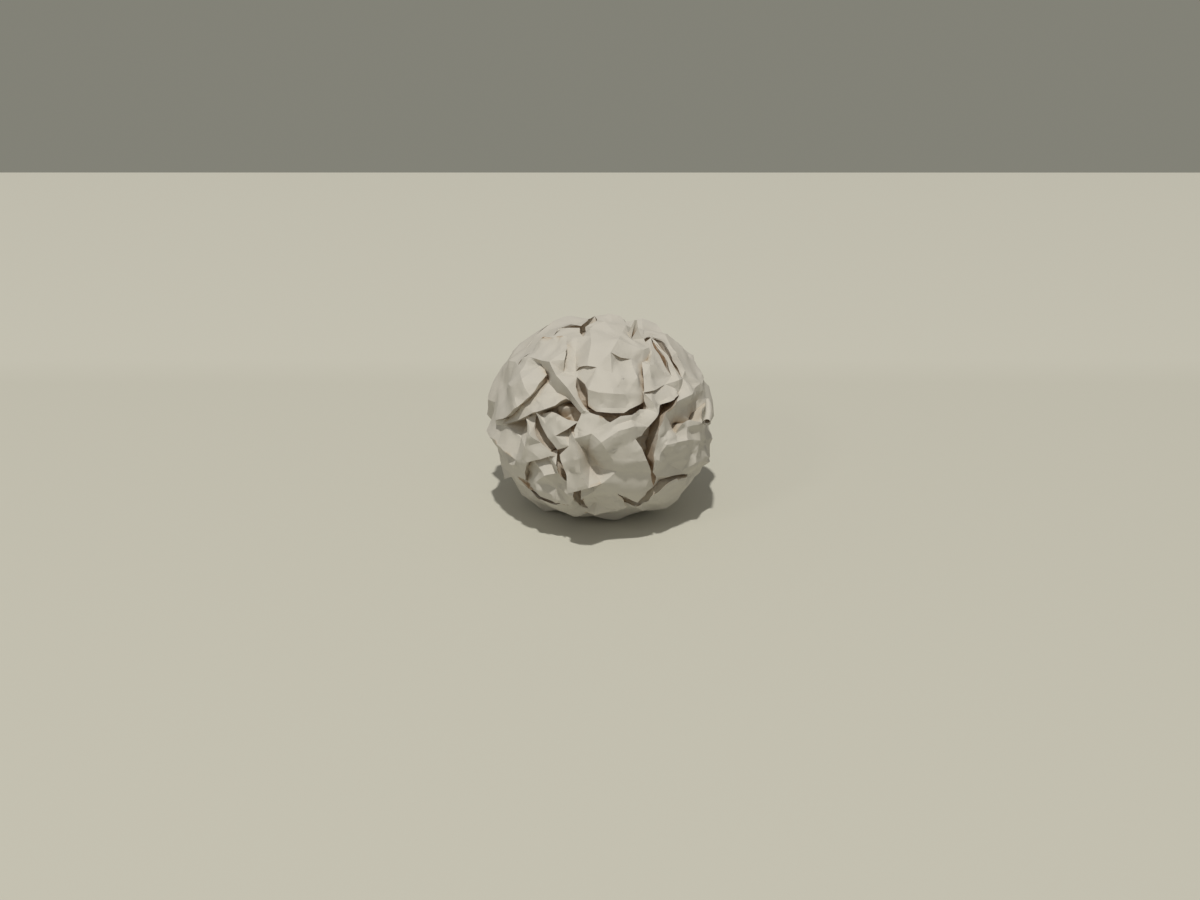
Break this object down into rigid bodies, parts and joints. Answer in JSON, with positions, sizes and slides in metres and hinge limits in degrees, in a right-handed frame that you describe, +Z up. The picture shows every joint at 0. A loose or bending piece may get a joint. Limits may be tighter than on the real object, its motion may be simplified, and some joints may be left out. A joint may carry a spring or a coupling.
{
  "type": "crumpled paper ball",
  "caption": "Ball crumpled by hand from one plain white sheet, with folds, laps and dark gaps, resting on a small pressed face.",
  "frame": {"origin": "centre of the bounding box in X and Y, at the pressed face the ball stands on", "axes": "+Z up; the side seen in the picture faces -Y; +X is the picture's right"},
  "size_m": [0.0574, 0.0578, 0.0507],
  "materials": {
    "white_paper": "matt uncoated office paper, slightly warm white"
  },
  "bodies": {
    "root": {"paper_ball": "white_paper"}
  },
  "joints": []
}
